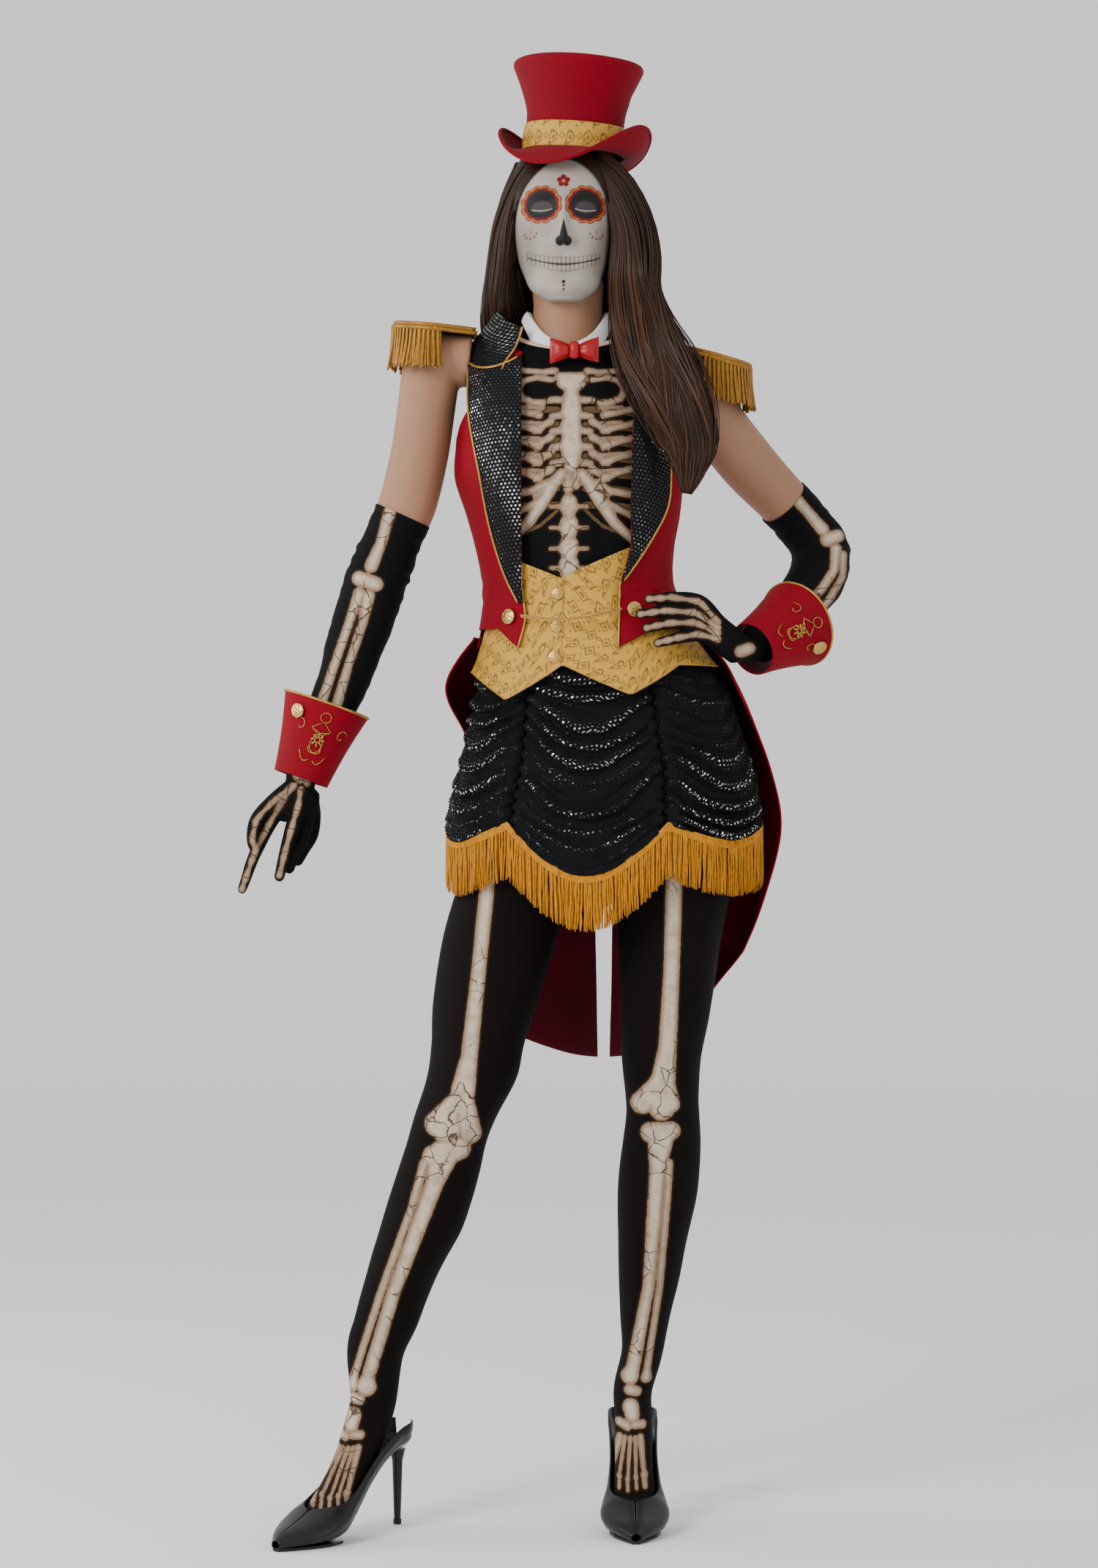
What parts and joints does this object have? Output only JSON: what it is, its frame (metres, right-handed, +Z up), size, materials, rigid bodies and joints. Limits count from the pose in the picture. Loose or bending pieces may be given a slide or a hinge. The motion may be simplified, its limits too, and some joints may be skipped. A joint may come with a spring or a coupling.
{
  "type": "papier-mache catrina figure",
  "caption": "Life-size papier-mache catrina display figure with a calavera face, dressed as a ringmaster in a top hat, red tailcoat, sequinned skirt, bone-print gloves and stockings.",
  "frame": {"origin": "bottom centre of the figure, on the floor between the shoes", "axes": "+Z up, the figure faces -Y, +X to its left hand"},
  "size_m": [0.8127, 0.3255, 1.9438],
  "materials": {
    "steel": "welded and turned steel, satin",
    "wood": "turned pine, unfinished",
    "mache_skin": "papier-mache painted a tan skin colour, matt",
    "mache_face": "papier-mache painted as a white calavera, matt",
    "mache_leg": "papier-mache under sheer black stockings",
    "stocking": "sheer black knit with printed bones",
    "shoe": "black patent",
    "sole": "moulded sole",
    "bodysuit": "black knit printed with ribs",
    "shirt": "white starched cotton",
    "satin_red": "red satin",
    "brocade": "gold brocade",
    "gilt": "gilt metal",
    "cloth_red": "red brocade cloth",
    "velvet_black": "black cloth with sequins",
    "fringe_gold": "gold rayon fringe",
    "sequin": "black sequinned cloth, gathered",
    "hair": "long brown wig fibre",
    "felt_red": "red velvet over buckram",
    "glove": "black stretch satin printed with arm bones"
  },
  "bodies": {
    "body": {"spine_post": "steel", "shoulder_bar": "steel", "leg_frame": "steel", "torso_shell": "mache_skin", "leg_shell_right": "mache_leg", "leg_shell_left": "mache_leg", "stockings": "stocking", "shoe_upper_right": "shoe", "shoe_upper_left": "shoe", "shoe_soles": "sole", "shoe_heels": "shoe", "bodysuit": "bodysuit", "shirt_collar": "shirt", "bow_tie": "satin_red", "vest": "brocade", "vest_buttons": "gilt", "jacket_back": "cloth_red", "jacket_front_right": "cloth_red", "jacket_front_left": "cloth_red", "lapel_right": "velvet_black", "lapel_left": "velvet_black", "jacket_collar": "velvet_black", "jacket_tail_right": "cloth_red", "jacket_tail_left": "cloth_red", "lapel_piping": "fringe_gold", "jacket_buttons": "gilt", "epaulette_right": "velvet_black", "epaulette_left": "velvet_black", "epaulette_fringe_right": "fringe_gold", "epaulette_fringe_left": "fringe_gold", "epaulette_buttons": "gilt", "skirt": "sequin", "skirt_fringe": "fringe_gold", "hair_fall_left": "hair", "hair_back": "hair"},
    "head": {"head_shell": "mache_face", "neck_bush": "wood", "wig_cap": "hair"},
    "hat": {"hat_crown": "felt_red", "hat_brim": "felt_red", "hat_band": "brocade"},
    "arm_right": {"shoulder_hub_right": "wood", "upper_arm_right": "mache_skin", "forearm_right": "mache_skin", "glove_sleeve_right": "glove", "cuff_right": "cloth_red", "cuff_button_right": "gilt", "wrist_pin_right": "steel"},
    "hand_right": {"hand_right": "glove"},
    "arm_left": {"shoulder_hub_left": "wood", "upper_arm_left": "mache_skin", "forearm_left": "mache_skin", "glove_sleeve_left": "glove", "cuff_left": "cloth_red", "cuff_button_left": "gilt", "wrist_pin_left": "steel"},
    "hand_left": {"hand_left": "glove"},
    "chain": {"chain": "gilt"}
  },
  "joints": [
    {"name": "neck_turn", "type": "hinge", "parent": "body", "child": "head", "pos_m": [0.025, 0.008, 1.6], "axis": [0, 0, 1], "range_deg": [-25, 25]},
    {"name": "hat_lift", "type": "slide", "parent": "head", "child": "hat", "axis": [0.0523, 0, 0.9986], "range_m": [0, 0.1]},
    {"name": "shoulder_swing_right", "type": "hinge", "parent": "body", "child": "arm_right", "pos_m": [-0.158, 0, 1.55], "axis": [-0.9947, 0, 0.1033], "range_deg": [-30, 30]},
    {"name": "wrist_turn_right", "type": "hinge", "parent": "arm_right", "child": "hand_right", "pos_m": [-0.324, -0.012, 1.008], "axis": [-0.4199, -0.0336, -0.907], "range_deg": [-40, 40]},
    {"name": "shoulder_swing_left", "type": "hinge", "parent": "body", "child": "arm_left", "pos_m": [0.208, 0, 1.512], "axis": [-0.9947, 0, 0.1033], "range_deg": [0, 30]},
    {"name": "wrist_turn_left", "type": "hinge", "parent": "arm_left", "child": "hand_left", "pos_m": [0.272, -0.044, 1.166], "axis": [0.5518, 0.6254, 0.5518], "range_deg": [0, 30]},
    {"name": "chain_swing", "type": "hinge", "parent": "body", "child": "chain", "pos_m": [-0.035, -0.084, 1.204], "axis": [-0.995, 0.0705, -0.0705], "range_deg": [0, 60]}
  ]
}
